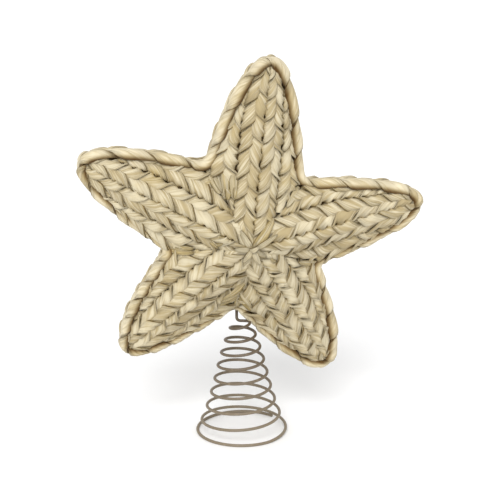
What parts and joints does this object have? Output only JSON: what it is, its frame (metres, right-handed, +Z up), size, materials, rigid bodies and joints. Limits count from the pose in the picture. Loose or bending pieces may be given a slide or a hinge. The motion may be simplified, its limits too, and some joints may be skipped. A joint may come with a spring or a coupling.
{
  "type": "braided straw star tree topper",
  "caption": "Five-armed star with roof-shaped faces of three-strand straw braid inside a braided rim, on a conical wire spring that grips the tip of a tree.",
  "frame": {"origin": "middle of the whole object's footprint, on the surface that the closed base ring of the spring stands on", "axes": "+Z up along the spring's axis, the star's front towards -Y, +X to the right seen from the front"},
  "size_m": [0.246, 0.0741, 0.2878],
  "materials": {
    "front_straw": "dry plaited straw, matt with a faint silky sheen along the fibres",
    "back_straw": "dry plaited straw, matt",
    "rim_straw": "dry plaited straw, matt, ochre in the folds",
    "painted_wire": "taupe paint, satin"
  },
  "bodies": {
    "root": {"rim_braid": "rim_straw", "spring_leg": "painted_wire", "spring_neck": "painted_wire", "spring_middle": "painted_wire", "spring_base": "painted_wire", "front_top_inner_left": "front_straw", "front_top_inner_right": "front_straw", "front_top_outer_left": "front_straw", "front_top_outer_right": "front_straw", "front_right_inner_left": "front_straw", "front_right_inner_right": "front_straw", "front_right_outer_left": "front_straw", "front_right_outer_right": "front_straw", "front_lower_right_inner_left": "front_straw", "front_lower_right_inner_right": "front_straw", "front_lower_right_outer_left": "front_straw", "front_lower_right_outer_right": "front_straw", "front_lower_left_inner_left": "front_straw", "front_lower_left_inner_right": "front_straw", "front_lower_left_outer_left": "front_straw", "front_lower_left_outer_right": "front_straw", "front_left_inner_left": "front_straw", "front_left_inner_right": "front_straw", "front_left_outer_left": "front_straw", "front_left_outer_right": "front_straw", "back_top_inner_left": "back_straw", "back_top_inner_right": "back_straw", "back_top_outer_left": "back_straw", "back_top_outer_right": "back_straw", "back_right_inner_left": "back_straw", "back_right_inner_right": "back_straw", "back_right_outer_left": "back_straw", "back_right_outer_right": "back_straw", "back_lower_right_inner_left": "back_straw", "back_lower_right_inner_right": "back_straw", "back_lower_right_outer_left": "back_straw", "back_lower_right_outer_right": "back_straw", "back_lower_left_inner_left": "back_straw", "back_lower_left_inner_right": "back_straw", "back_lower_left_outer_left": "back_straw", "back_lower_left_outer_right": "back_straw", "back_left_inner_left": "back_straw", "back_left_inner_right": "back_straw", "back_left_outer_left": "back_straw", "back_left_outer_right": "back_straw"}
  },
  "joints": []
}
